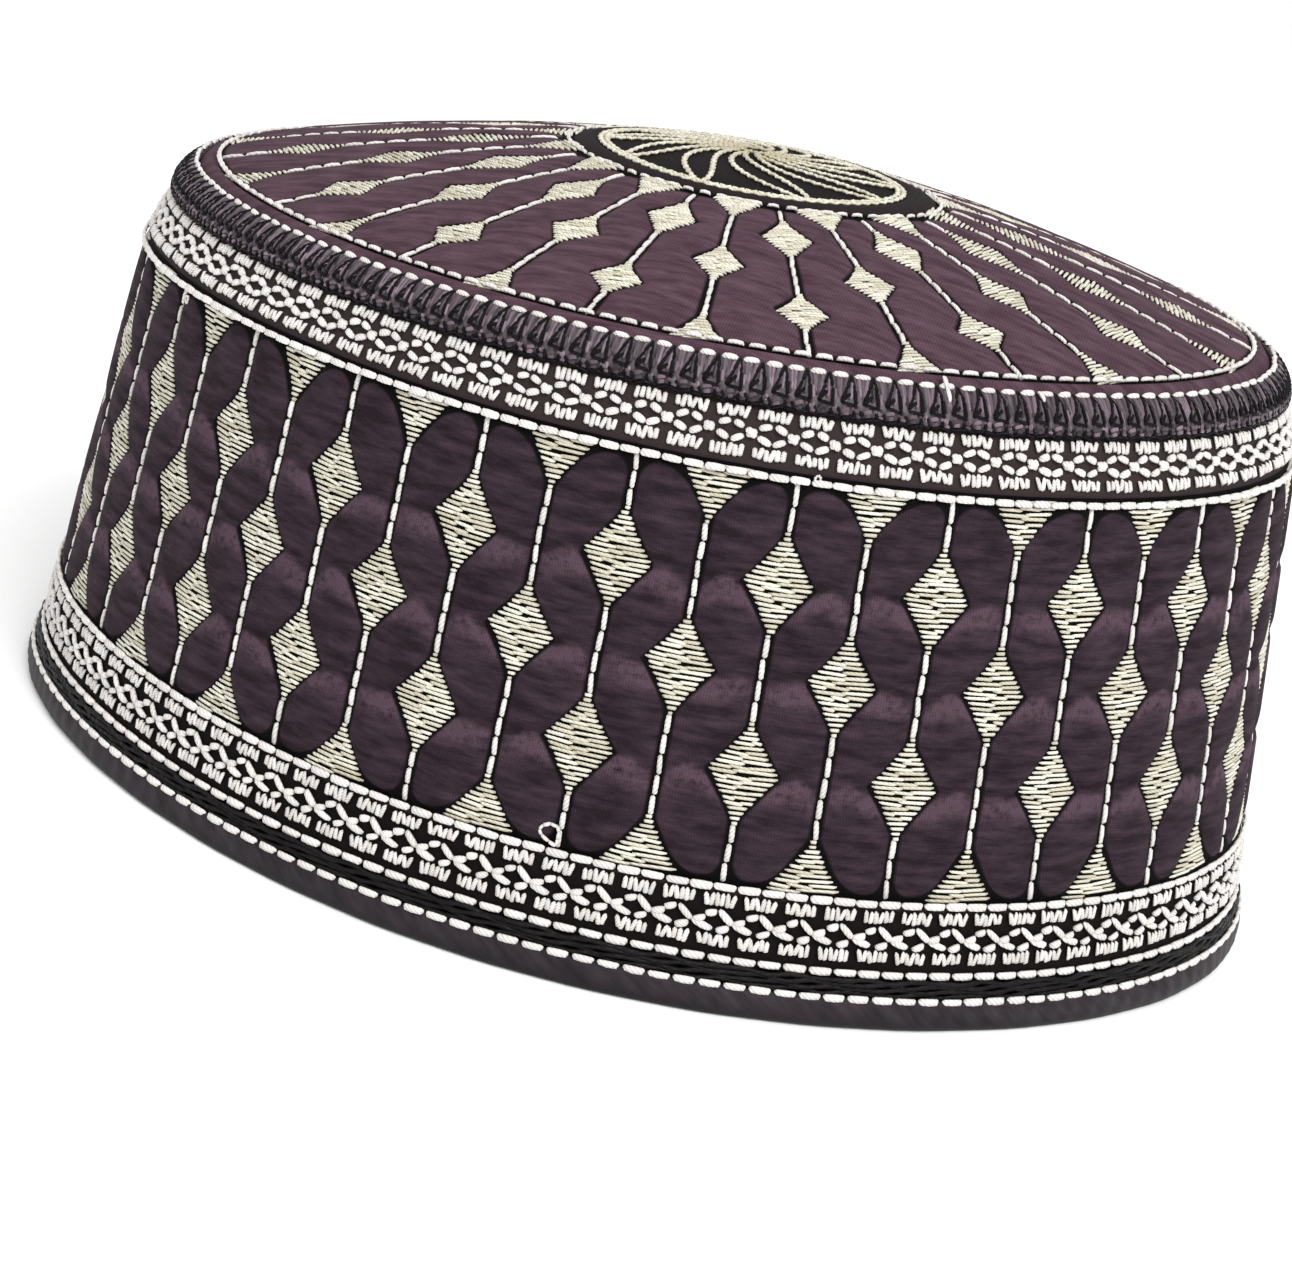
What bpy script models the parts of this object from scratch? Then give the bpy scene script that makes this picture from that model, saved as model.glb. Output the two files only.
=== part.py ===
"""Kufi cap: quilted oval side band, domed crown, seam roll, rim cord band and brim binding.

Units are metres and +Z is up. The cap stands on its brim at z = 0, centred on the Z axis,
with its long (front to back) axis along X. Every ring is an egg-shaped oval, drawn inward
from a gently leaning wall line, so a section point is a height and an inset from that line.
"""
from math import cos, pi, sin

import bpy

MM = 0.001

# Rim oval and wall line
RIM_LENGTH = 202.0 * MM          # outer length at the rim, front to back
RIM_WIDTH = 168.0 * MM           # outer width at the rim, side to side
BACK_WIDENING = 0.034            # share by which the +X half is wider than the plain oval
DIAGONAL_EASE = 0.012            # share by which the oval is flatter across its diagonals
LEAN_LENGTH = 0.106              # inward lean at the front and back, metres per metre of height
LEAN_WIDTH = 0.084               # inward lean at the two sides
TOP_SLOPE = 0.02                 # share by which heights grow towards +X and shrink towards -X

# Heights of the embroidered lines above the floor
BINDING_TOP = 4.6 * MM
CORD_TOP = 7.9 * MM
FIELD_BOTTOM = 18.5 * MM
FIELD_TOP = 76.5 * MM
SHOULDER_HEIGHT = 85.0 * MM      # lower edge of the seam roll
CROWN_EDGE_HEIGHT = 90.5 * MM    # upper edge of the seam roll
CROWN_LINE_HEIGHT = 91.9 * MM    # inner stitch line of the crown, where the dome starts
DOME_RISE = 15.0 * MM
DOME_POWER = 1.65                # 2 is a parabola, less is more pointed
CROWN_SHIFT = 1.8 * MM           # how far the crown's middle lies towards +X

# Insets of those rings from the leaning wall line
SHOULDER_INSET = 2.9 * MM
CROWN_EDGE_INSET = 5.8 * MM
CROWN_LINE_INSET = 8.5 * MM

# Cloth and quilting
BAND_WALL = 2.2 * MM
CROWN_WALL = 2.0 * MM
RIB_RISE = 0.8 * MM              # how far a padded rib stands over its stitched line
SIDE_COLUMNS = 48                # stitched columns around the side
CROWN_SPOKES = 30                # stitched lines on the crown
COLUMN_START = -0.41             # where the first column stands from +X, in column spacings
SPOKE_START = -0.89              # where the first crown line stands from +X, in line spacings
DIAMOND_HALF = 0.40              # half-width of a diamond, as a share of the column spacing
DIAMOND_SPAN = 0.132             # half-height of a diamond, as a share of the field
RIB_SHOULDER = 0.14              # from a rib's edge to its padded top, as a share of the spacing

# Seam roll, cord band and binding
ROLL_PROUD = 1.4 * MM
SEAM_SINK = 0.5 * MM             # how deep the two panel edges dip under the roll
CORD_PROUD = 0.9 * MM
TAPE_WALL = 1.0 * MM
TAPE_INNER_HEIGHT = 9.0 * MM     # how far the tape reaches up inside
GAP = 0.3 * MM                   # clearance between neighbouring pieces

RING_STEPS = 76                  # sides of the plain rings
LENGTH_STEPS = 1440              # fine steps for measuring along the oval

# Centres of the full diamonds up the field, per column kind, as shares of its height.
# Kind A has half diamonds at both ends (centres 0 and 1), kind B has none.
DIAMONDS = {
    "A": (0.0, 0.5, 1.0),
    "B": (0.265, 0.73),
}
# The levels where the side band's mesh follows the waves of the ribs
FIELD_LEVELS = (0.0, 0.13, 0.265, 0.38, 0.5, 0.615, 0.73, 0.865, 1.0)
# Crown: distance shares from the medallion's edge (0) to the inner stitch line (1)
CROWN_DIAMONDS = {
    "A": (0.0, 0.49, 1.0),
    "B": (0.25, 0.75),
}
CROWN_LEVELS = (1.0, 0.87, 0.75, 0.62, 0.49, 0.37, 0.25, 0.12, 0.0)
MEDALLION = 0.371                # size of the medallion as a share of the inner stitch line
UNDERSIDE_SHARES = (0.45, 0.94)   # rings of the crown's smooth underside


def oval_point(half_length, half_width, turn, height):
    """A point of an egg-shaped oval ring; turn is in radians from +X."""
    ease = 1 + DIAGONAL_EASE * cos(4 * turn)
    widening = 1 + BACK_WIDENING * cos(turn)
    return (half_length * ease * cos(turn), half_width * ease * widening * sin(turn), height)


def wall_point(turn, height, inset):
    """A point at an inset from the leaning wall line, at a height."""
    half_length = RIM_LENGTH / 2 - LEAN_LENGTH * height - inset
    half_width = RIM_WIDTH / 2 - LEAN_WIDTH * height - inset
    return oval_point(half_length, half_width, turn, height * (1 + TOP_SLOPE * cos(turn)))


def crown_point(turn, share, sink):
    """A point of the dome at a share of the inner stitch line, sunk by a depth."""
    half_length = RIM_LENGTH / 2 - LEAN_LENGTH * CROWN_LINE_HEIGHT - CROWN_LINE_INSET
    half_width = RIM_WIDTH / 2 - LEAN_WIDTH * CROWN_LINE_HEIGHT - CROWN_LINE_INSET
    base = CROWN_LINE_HEIGHT * (1 + TOP_SLOPE * share * cos(turn))
    height = base + DOME_RISE * (1 - share ** DOME_POWER) - sink
    x, y, z = oval_point(half_length * share, half_width * share, turn, height)
    return (x + CROWN_SHIFT * (1 - share), y, z)


def even_turns(count):
    """Turns that are evenly spaced by length along the rim oval."""
    points = [wall_point(2 * pi * i / LENGTH_STEPS, 0.0, 0.0) for i in range(LENGTH_STEPS + 1)]
    reach = [0.0]
    for a, b in zip(points, points[1:]):
        reach.append(reach[-1] + ((a[0] - b[0]) ** 2 + (a[1] - b[1]) ** 2) ** 0.5)
    turns = []
    step = 0
    for i in range(count):
        goal = reach[-1] * i / count
        while reach[step + 1] < goal:
            step += 1
        part = (goal - reach[step]) / (reach[step + 1] - reach[step])
        turns.append(2 * pi * (step + part) / LENGTH_STEPS)
    return turns


def turn_between(turns, place):
    """The turn at a fractional place in a list of even turns, wrapping around."""
    count = len(turns)
    low = int(place // 1)
    part = place - low
    start = turns[low % count] + 2 * pi * (low // count)
    end = turns[(low + 1) % count] + 2 * pi * ((low + 1) // count)
    return start + (end - start) * part


def diamond_width(kind, share, table):
    """Half-width of the diamond that a column has at a share of its length, 0 where it has none."""
    width = 0.0
    for centre in table[kind]:
        width = max(width, DIAMOND_HALF * (1 - abs(share - centre) / DIAMOND_SPAN))
    return width


def rib_places(column, share, table):
    """Places around the ring, in column spacings, of one column line and the rib after it."""
    kinds = ("A", "B") if column % 2 == 0 else ("B", "A")
    left = diamond_width(kinds[0], share, table) * 0.9 + RIB_SHOULDER
    right = 1 - diamond_width(kinds[1], share, table) * 0.9 - RIB_SHOULDER
    return ((column, RIB_RISE), (column + left, 0.0), (column + right, 0.0))


def cloth_material(name, color, roughness):
    material = bpy.data.materials.new(name)
    material.use_nodes = True
    shader = material.node_tree.nodes["Principled BSDF"]
    shader.inputs["Base Color"].default_value = (*color, 1.0)
    shader.inputs["Roughness"].default_value = roughness
    shader.inputs["Metallic"].default_value = 0.0
    return material


def add_object(name, points, faces, material):
    mesh = bpy.data.meshes.new(name)
    mesh.from_pydata(points, [], faces)
    mesh.materials.append(material)
    mesh.shade_smooth()
    mesh.set_sharp_from_angle(angle=0.7)
    part = bpy.data.objects.new(name, mesh)
    bpy.context.scene.collection.objects.link(part)
    return part


def ring_faces(ring_count, steps, closed):
    """Quads between successive rings, all with the same number of steps."""
    faces = []
    for ring in range(ring_count if closed else ring_count - 1):
        below = ring * steps
        above = (ring + 1) % ring_count * steps
        for i in range(steps):
            j = (i + 1) % steps
            faces.append((below + i, below + j, above + j, above + i))
    return faces


def ring_solid(name, rings, material):
    """A closed ring whose section is the closed loop of the given rings."""
    steps = len(rings[0])
    points = [point for ring in rings for point in ring]
    return add_object(name, points, ring_faces(len(rings), steps, True), material)


def shell_solid(name, rings, bottom, top, material):
    """A disc-like shell: rings from the middle of its underside, over the edge, to its top."""
    steps = len(rings[0])
    points = [point for ring in rings for point in ring] + [bottom, top]
    faces = ring_faces(len(rings), steps, False)
    bottom_index = len(points) - 2
    last = (len(rings) - 1) * steps
    for i in range(steps):
        j = (i + 1) % steps
        faces.append((bottom_index, j, i))
        faces.append((bottom_index + 1, last + i, last + j))
    return add_object(name, points, faces, material)


def plain_rings(section, turns):
    """Rings from a section given as (height, inset) points."""
    return [[wall_point(turn, height, inset) for turn in turns] for height, inset in section]


def seam_frame(along, out):
    """(height, inset) of a point on the seam: along runs 0 to 1 up the roll, out is outward."""
    rise = CROWN_EDGE_HEIGHT - SHOULDER_HEIGHT
    run = CROWN_EDGE_INSET - SHOULDER_INSET + (LEAN_LENGTH + LEAN_WIDTH) / 2 * rise
    length = (rise ** 2 + run ** 2) ** 0.5
    height = SHOULDER_HEIGHT + along * rise + out * run / length
    inset = SHOULDER_INSET + along * (CROWN_EDGE_INSET - SHOULDER_INSET) - out * rise / length
    return (height, inset)


def make_side_band(material):
    """Oval wall: ribbed field outside, smooth inside, its top edge tucked under the roll."""
    turns = even_turns(SIDE_COLUMNS)
    field = FIELD_TOP - FIELD_BOTTOM
    even = [turn_between(turns, COLUMN_START + i / 3) for i in range(SIDE_COLUMNS * 3)]
    foot = TAPE_WALL + GAP
    rings = plain_rings([(foot, BAND_WALL), (foot, 0.0), (BINDING_TOP, 0.0)], even)
    for share in FIELD_LEVELS:
        ring = []
        for column in range(SIDE_COLUMNS):
            for place, sink in rib_places(column, share, DIAMONDS):
                turn = turn_between(turns, COLUMN_START + place)
                ring.append(wall_point(turn, FIELD_BOTTOM + share * field, sink))
        rings.append(ring)
    under = SEAM_SINK + BAND_WALL
    top = [
        (SHOULDER_HEIGHT - GAP, SHOULDER_INSET - GAP),
        seam_frame(0.12, -SEAM_SINK),
        seam_frame(0.47, -SEAM_SINK),
        seam_frame(0.47, -under),
        seam_frame(0.0, -under),
        (FIELD_TOP, BAND_WALL),
    ]
    rings += plain_rings(top, even)
    return ring_solid("side_band", rings, material)


def make_crown_panel(material):
    """Domed top panel: ribs run out from the medallion, the edge tucks under the roll."""
    turns = even_turns(CROWN_SPOKES)
    even = [turn_between(turns, SPOKE_START + i / 3) for i in range(CROWN_SPOKES * 3)]
    rings = [[crown_point(turn, share, CROWN_WALL) for turn in even] for share in UNDERSIDE_SHARES]
    under = SEAM_SINK + CROWN_WALL
    edge = [
        seam_frame(0.90, -under),
        seam_frame(0.53, -under),
        seam_frame(0.53, -SEAM_SINK),
        seam_frame(0.88, -SEAM_SINK),
        (CROWN_EDGE_HEIGHT + GAP, CROWN_EDGE_INSET + GAP),
    ]
    rings += plain_rings(edge, even)
    for level in CROWN_LEVELS:
        share = MEDALLION + (1 - MEDALLION) * level
        ring = []
        for spoke in range(CROWN_SPOKES):
            for place, sink in rib_places(spoke, level, CROWN_DIAMONDS):
                turn = turn_between(turns, SPOKE_START + place)
                ring.append(crown_point(turn, share, sink * share))
        rings.append(ring)
    rings.append([crown_point(turn, MEDALLION * 0.5, 0.0) for turn in even])
    bottom = crown_point(0.0, 0.0, CROWN_WALL)
    top = crown_point(0.0, 0.0, 0.0)
    return shell_solid("crown_panel", rings, bottom, top, material)


def make_seam_roll(material):
    """Raised roll over the seam of side band and crown, flat underneath."""
    bed = -SEAM_SINK + GAP
    section = [
        seam_frame(0.5, bed),
        seam_frame(0.05, bed),
        seam_frame(0.07, ROLL_PROUD * 0.45),
        seam_frame(0.25, ROLL_PROUD * 0.85),
        seam_frame(0.5, ROLL_PROUD),
        seam_frame(0.75, ROLL_PROUD * 0.85),
        seam_frame(0.93, ROLL_PROUD * 0.45),
        seam_frame(0.95, bed),
    ]
    return ring_solid("crown_seam_roll", plain_rings(section, even_turns(RING_STEPS)), material)


def make_rim_cord_band(material):
    """Thin raised band of twisted thread against the side band, just over the binding."""
    low = BINDING_TOP + GAP
    section = [
        (low, -GAP),
        (low, -CORD_PROUD * 0.8),
        ((low + CORD_TOP) / 2, -CORD_PROUD),
        (CORD_TOP, -CORD_PROUD * 0.8),
        (CORD_TOP, -GAP),
    ]
    return ring_solid("rim_cord_band", plain_rings(section, even_turns(RING_STEPS)), material)


def make_brim_binding(material):
    """Tape folded over the bottom edge of the side band, flat underneath."""
    outer = -(GAP + TAPE_WALL)
    inner = BAND_WALL + GAP
    section = [
        (TAPE_INNER_HEIGHT, inner),
        (TAPE_INNER_HEIGHT, inner + TAPE_WALL),
        (TAPE_WALL * 0.6, inner + TAPE_WALL),
        (0.0, BAND_WALL),
        (0.0, 0.0),
        (TAPE_WALL * 0.5, outer * 0.8),
        (BINDING_TOP * 0.55, outer),
        (BINDING_TOP, outer * 0.85),
        (BINDING_TOP, -GAP),
        (TAPE_WALL, -GAP),
        (TAPE_WALL, inner),
    ]
    return ring_solid("brim_binding", plain_rings(section, even_turns(RING_STEPS)), material)


for stray in list(bpy.data.objects):
    bpy.data.objects.remove(stray)

side_cloth = cloth_material("side_cloth", (0.065, 0.042, 0.060), 0.75)
crown_cloth = cloth_material("crown_cloth", (0.110, 0.070, 0.100), 0.75)
roll_thread = cloth_material("roll_thread", (0.120, 0.080, 0.120), 0.65)
cord_thread = cloth_material("cord_thread", (0.012, 0.010, 0.012), 0.6)
binding_satin = cloth_material("binding_satin", (0.070, 0.050, 0.070), 0.5)

make_side_band(side_cloth)
make_crown_panel(crown_cloth)
make_seam_roll(roll_thread)
make_rim_cord_band(cord_thread)
make_brim_binding(binding_satin)
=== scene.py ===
from math import pi

import bpy
import numpy as np
from mathutils import Matrix, Vector


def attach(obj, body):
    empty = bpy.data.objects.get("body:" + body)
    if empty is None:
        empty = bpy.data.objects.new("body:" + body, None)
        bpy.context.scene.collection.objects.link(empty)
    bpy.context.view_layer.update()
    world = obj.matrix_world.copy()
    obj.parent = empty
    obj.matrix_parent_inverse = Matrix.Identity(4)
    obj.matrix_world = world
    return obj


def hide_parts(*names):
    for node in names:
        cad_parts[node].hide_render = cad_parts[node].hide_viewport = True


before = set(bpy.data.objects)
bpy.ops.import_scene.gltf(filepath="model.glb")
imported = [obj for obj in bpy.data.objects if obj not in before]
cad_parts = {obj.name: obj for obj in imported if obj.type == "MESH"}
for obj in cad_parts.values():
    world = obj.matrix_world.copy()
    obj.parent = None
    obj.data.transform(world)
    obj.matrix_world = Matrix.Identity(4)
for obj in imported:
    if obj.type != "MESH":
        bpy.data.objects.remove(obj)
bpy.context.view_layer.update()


# Side band: one oval wall of aubergine cotton, quilted over a stiff interlining.
# Ribs of padded cloth wave between the stitched columns, and the top and bottom are flat borders.
# Its edges run under the seam roll above and into the binding below.
MM = 0.001
RIM_LENGTH = 202.0 * MM
RIM_WIDTH = 168.0 * MM
LEAN_LENGTH = 0.106
LEAN_WIDTH = 0.084
FIELD_BOTTOM = 18.5 * MM
FIELD_TOP = 76.5 * MM
FIELD = FIELD_TOP - FIELD_BOTTOM
SHOULDER_HEIGHT = 85.0 * MM
SHOULDER_INSET = 2.9 * MM
ROLL_TOP_HEIGHT = 90.5 * MM
ROLL_TOP_INSET = 5.8 * MM
COLUMNS = 48
COLUMN_START = -0.41
COLUMN_STEPS = 18
GROOVE = 0.9 * MM
# Centre up the column, half-width in column spacings, and reach below and above the centre.
SIDE_DIAMONDS = (
    ((0.0, 0.48, 0.140, 0.140), (0.505, 0.435, 0.126, 0.126), (1.0, 0.48, 0.140, 0.140)),
    ((0.265, 0.44, 0.130, 0.131), (0.73, 0.44, 0.130, 0.133)),
)


def oval(half_length, half_width, turn, height):
    """Points of the egg-shaped ring that every level of the cap follows."""
    ease = 1 + 0.012 * np.cos(4 * turn)
    widening = 1 + 0.034 * np.cos(turn)
    x = half_length * ease * np.cos(turn)
    y = half_width * ease * widening * np.sin(turn)
    return np.stack(np.broadcast_arrays(x, y, height), -1)


def wall(turn, height, inset):
    """Points at an inset from the leaning wall line."""
    half_length = RIM_LENGTH / 2 - LEAN_LENGTH * height - inset
    half_width = RIM_WIDTH / 2 - LEAN_WIDTH * height - inset
    return oval(half_length, half_width, turn, height * (1 + 0.02 * np.cos(turn)))


fine_turns = np.linspace(0, 2 * pi, 2881)
rim = wall(fine_turns, 0.0, 0.0)
rim_reach = np.concatenate([[0], np.cumsum(np.linalg.norm(np.diff(rim, axis=0), axis=1))])


def turn_at(place, count, start):
    """The turn of a place counted in even spacings along the rim."""
    rounds = (np.asarray(place, float) + start) / count
    whole = np.floor(rounds)
    return np.interp((rounds - whole) * rim_reach[-1], rim_reach, fine_turns) + 2 * pi * whole


def border_inset(height):
    """The wall rounds over towards the crown in its upper border."""
    over = np.clip((height - FIELD_TOP + 0.6 * MM) / (SHOULDER_HEIGHT - FIELD_TOP + 0.6 * MM), 0, 2)
    return SHOULDER_INSET * over ** 1.1


def unit(vectors):
    return vectors / np.linalg.norm(vectors, axis=-1, keepdims=True)


def side_out(turn, height):
    """Outward direction of the side wall."""
    d = 1e-4
    along = wall(turn + d, height, 0) - wall(turn - d, height, 0)
    above, below = (wall(turn, level, border_inset(level)) for level in (height + d, height - d))
    return unit(np.cross(along, above - below))


def side_drift(place):
    """The embroidery was not hooped quite level, so its rows wander a little up and down."""
    return 0.002 + 0.017 * np.sin(2 * pi * (place + 11.5) / 24)


def diamond_half(share, diamonds):
    """Half-width of a column's diamonds at a share of its length, in spacings."""
    width = np.zeros_like(share)
    for centre, half, low, high in diamonds:
        level = np.clip(1 - np.abs(share - centre) / np.where(share > centre, high, low), 0, 1)
        width = np.maximum(width, half * level ** 1.15)
    return width


def settled(share, column, drift):
    """A share of a column's length before the drift, which fades out at both ends."""
    return share - drift(column) * np.clip(np.minimum(share, 1 - share) * 8, 0, 1)


def rib_height(place, share, diamonds, drift, creased):
    """Padding from 0 in the stitching to 1 on a rib, gap to the stitching, and painted light at the
    creases: above 0 for a painted highlight below a crease, below 0 for painted shade along it.
    """
    left = np.floor(place).astype(int)
    across = place - left
    edges = []
    levels = []
    for column in (left, left + 1):
        moved = settled(share, column, drift)
        levels.append((column, moved))
        width = np.where(column % 2, diamond_half(moved, diamonds[1]), diamond_half(moved, diamonds[0]))
        edges.append(np.maximum(width, 0.035))
    span = np.maximum(1 - edges[0] - edges[1], 0.05)
    reach = (across - edges[0]) / span
    inside = np.clip(np.minimum(reach, 1 - reach) * 2, 0, 1)
    gap = np.minimum(across - edges[0], 1 - edges[1] - across)
    puff = (1 - (1 - inside) ** 2.6) ** 0.72 * np.clip(span / 0.55, 0.4, 1.05)
    painted_crease_light = np.zeros_like(puff)
    painted_crease_shade = np.zeros_like(puff)
    if creased:
        for (column, moved), away in zip(levels, (reach, 1 - reach)):
            away = np.clip(away, 0, 1)
            waver = 0.008 * np.sin(column * 2.4 + 5 * away)
            for kind in (0, 1):
                for centre, half, low, high in diamonds[kind]:
                    if not 0.1 < centre < 0.9:
                        continue
                    fold = moved - (centre + 0.022 * np.sin(pi * away) - 0.012 * away + waver)
                    here = (column % 2 == kind) * (1 - 0.55 * away)
                    width = np.where(fold > 0, 0.026, 0.014)
                    puff = puff * (1 - 0.55 * here * np.exp(-(fold / width) ** 2))
                    # Painted highlight on the cloth just below each crease, and painted shade along the
                    # crease line itself.
                    painted_crease_light = np.maximum(painted_crease_light, here * np.exp(-((fold + 0.040) / 0.032) ** 2))
                    painted_crease_shade = np.maximum(painted_crease_shade, here * np.exp(-(fold / 0.012) ** 2))
    return puff, gap, painted_crease_light - painted_crease_shade


def grid_quads(rings, steps):
    """Quads between rings that run once round the cap, and the loop places of each for its UVs."""
    ring, step = np.meshgrid(np.arange(rings - 1), np.arange(steps), indexing="ij")
    after = (step + 1) % steps
    low, high = ring * steps, (ring + 1) * steps
    quads = np.stack([low + step, low + after, high + after, high + step], -1)
    steps_around = np.stack([step, step + 1, step + 1, step], -1)
    rings_up = np.stack([ring, ring, ring + 1, ring + 1], -1)
    return quads.reshape(-1, 4), steps_around.reshape(-1), rings_up.reshape(-1)


def new_object(name, data):
    """An object in the scene, at the origin."""
    made = bpy.data.objects.new(name, data)
    bpy.context.scene.collection.objects.link(made)
    return made


def make_piece(name, points, faces, material, uvs, masks):
    """A smooth mesh piece from arrays, with its cloth UVs and its named masks."""
    mesh = bpy.data.meshes.new(name)
    mesh.from_pydata(points.reshape(-1, 3).tolist(), [], [list(face) for face in faces])
    mesh.materials.append(material)
    mesh.shade_smooth()
    layer = mesh.uv_layers.new(name="cloth")
    layer.data.foreach_set("uv", np.ascontiguousarray(uvs, np.float32).reshape(-1))
    for mask, values in masks.items():
        layer = mesh.attributes.new(mask, "FLOAT", "POINT")
        layer.data.foreach_set("value", np.ascontiguousarray(values, np.float32).reshape(-1))
    return new_object(name, mesh)


def add(tree, kind, inputs=None, **settings):
    """A node with its settings, its values and its incoming links."""
    made = tree.nodes.new(kind)
    for key, value in settings.items():
        setattr(made, key, value)
    for key, value in (inputs or {}).items():
        if isinstance(value, bpy.types.NodeSocket):
            tree.links.new(value, made.inputs[key])
        else:
            made.inputs[key].default_value = value
    return made


def new_group(name, kind, inputs, outputs):
    """A node group with named sockets, each given as (name, socket type, value)."""
    tree = bpy.data.node_groups.new(name, kind)
    for label, socket, value in inputs:
        made = tree.interface.new_socket(label, in_out="INPUT", socket_type=socket)
        if value is not None:
            made.default_value = value
    for label, socket in outputs:
        tree.interface.new_socket(label, in_out="OUTPUT", socket_type=socket)
    return tree, tree.nodes.new("NodeGroupInput").outputs, tree.nodes.new("NodeGroupOutput").inputs


def mul(tree, a, b=0.0, operation="MULTIPLY"):
    """One sum of two values, a product unless another operation is named."""
    return add(tree, "ShaderNodeMath", {0: a, 1: b}, operation=operation).outputs[0]


def mix(tree, share, a, b, blend="MIX"):
    made = add(tree, "ShaderNodeMix", {0: share, 6: a, 7: b}, data_type="RGBA", blend_type=blend)
    return made.outputs[2]


# Plain weave: bumps where the two sets of yarn cross, uneven from yarn to yarn.
number, vector = "NodeSocketFloat", "NodeSocketVector"
weave, given, result = new_group(
    "plain weave", "ShaderNodeTree",
    [("Place", vector, None), ("Yarn", number, 0.45), ("Slub", number, 0.35)],
    [("Yarns", number), ("Blotches", number), ("Crumples", number)],
)


def cloth_noise(stretch, scale, detail, roughness):
    """Noise over the weave, stretched along or across the yarns."""
    placed = add(weave, "ShaderNodeMapping", {"Vector": given["Place"], "Scale": stretch}).outputs[0]
    inputs = {"Vector": placed, "Scale": scale, "Detail": detail, "Roughness": roughness}
    return add(weave, "ShaderNodeTexNoise", inputs).outputs[0]


across, up, _ = add(weave, "ShaderNodeSeparateXYZ", {0: given["Place"]}).outputs
yarn = mul(weave, 3.14159, given["Yarn"], "DIVIDE")
warp = mul(weave, mul(weave, across, yarn), operation="SINE")
weft = mul(weave, mul(weave, mul(weave, up, yarn), 1.6), operation="SINE")
bumps = mul(weave, mul(weave, warp, weft), operation="ABSOLUTE")
slub = mul(weave, cloth_noise((0.35, 2.2, 1.0), 1.4, 2.0, 0.5), given["Slub"])
weave.links.new(mul(weave, bumps, slub, "ADD"), result["Yarns"])
weave.links.new(cloth_noise((0.12, 0.55, 1.0), 1.0, 4.0, 0.65), result["Blotches"])
weave.links.new(cloth_noise((1.0, 1.0, 1.0), 0.8, 2.0, 0.6), result["Crumples"])


def ramp(tree, value, low, high, first=0.0, last=1.0):
    """A value brought from one range to another, clamped."""
    return add(tree, "ShaderNodeMapRange", {0: value, 1: low, 2: high, 3: first, 4: last}).outputs[0]


def read_mask(tree, name):
    return add(tree, "ShaderNodeAttribute", attribute_name=name).outputs["Fac"]


def relief_of(tree, shader, height, strength, depth):
    """Bump from a height, in metres of depth, on the shader's normal."""
    bump = add(tree, "ShaderNodeBump", {"Strength": strength, "Distance": depth, "Height": height})
    tree.links.new(bump.outputs[0], shader.inputs["Normal"])


def new_finish(name):
    """A material with its node tree, its shader and the piece's own cloth places."""
    material = bpy.data.materials.new(name)
    material.use_nodes = True
    tree = material.node_tree
    place = add(tree, "ShaderNodeUVMap", uv_map="cloth").outputs[0]
    return material, tree, tree.nodes["Principled BSDF"], place


def quilted_cloth(name, dark, light, upper, lower, groove_shade, rough):
    """Cotton in mottled tones, with painted shade in the grooves along its stitching and painted
    highlight and shade at its creases.
    """
    material, tree, shader, place = new_finish(name)
    cloth = add(tree, "ShaderNodeGroup", {"Place": place}, node_tree=weave)
    cloth.inputs["Yarn"].default_value = 0.42
    cloth.inputs["Slub"].default_value = 0.8
    # Painted shade: the cloth turns near-black in the grooves, where the gap to the stitching is small.
    seam = ramp(tree, read_mask(tree, "gap"), 0.30, 0.75, 1.0, 0.0)
    edge = read_mask(tree, "border")
    # Painted light at the creases: a painted highlight in crumpled patches below each crease, added to
    # the random mottling; the crumples also give bump.
    painted_crease_light = read_mask(tree, "painted_crease_light")
    crumple_bump_and_highlight = mul(tree, cloth.outputs["Crumples"], 0.22, "SUBTRACT")
    crumple_bump_and_highlight = mul(tree, mul(tree, painted_crease_light, 0.0, "MAXIMUM"), crumple_bump_and_highlight)
    mottle_and_highlight = mul(tree, mul(tree, cloth.outputs["Blotches"], 0.9), mul(tree, crumple_bump_and_highlight, 2.0), "ADD")
    base = mix(tree, ramp(tree, mottle_and_highlight, 0.34, 0.86), (*dark, 1), (*light, 1))
    # Painted shade darkens the cloth along each crease.
    base = mix(tree, 1.0, base, ramp(tree, painted_crease_light, -1.0, -0.1, 0.45, 1.0), "MULTIPLY")
    base = mix(tree, 1.0, base, ramp(tree, cloth.outputs["Yarns"], 0.2, 1.3, 0.70, 1.25), "MULTIPLY")
    ground = mix(tree, ramp(tree, edge, 0.5, 1.0), (*upper, 1), (*lower, 1))
    base = mix(tree, ramp(tree, edge, 0.0, 0.5), base, ground)
    base = mix(tree, seam, base, (*groove_shade, 1))
    tree.links.new(base, shader.inputs["Base Color"])
    relief = mul(tree, cloth.outputs["Yarns"], mul(tree, crumple_bump_and_highlight, 7.0), "ADD")
    relief_of(tree, shader, relief, 0.40, 0.0002)
    shader.inputs["Roughness"].default_value = rough
    shader.inputs["Specular IOR Level"].default_value = 0.10
    return material


side_cloth = quilted_cloth(
    "side_cloth", (0.014, 0.008, 0.012), (0.074, 0.045, 0.062),
    (0.034, 0.025, 0.024), (0.006, 0.004, 0.004), (0.0015, 0.001, 0.001), 0.8,
)

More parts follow.
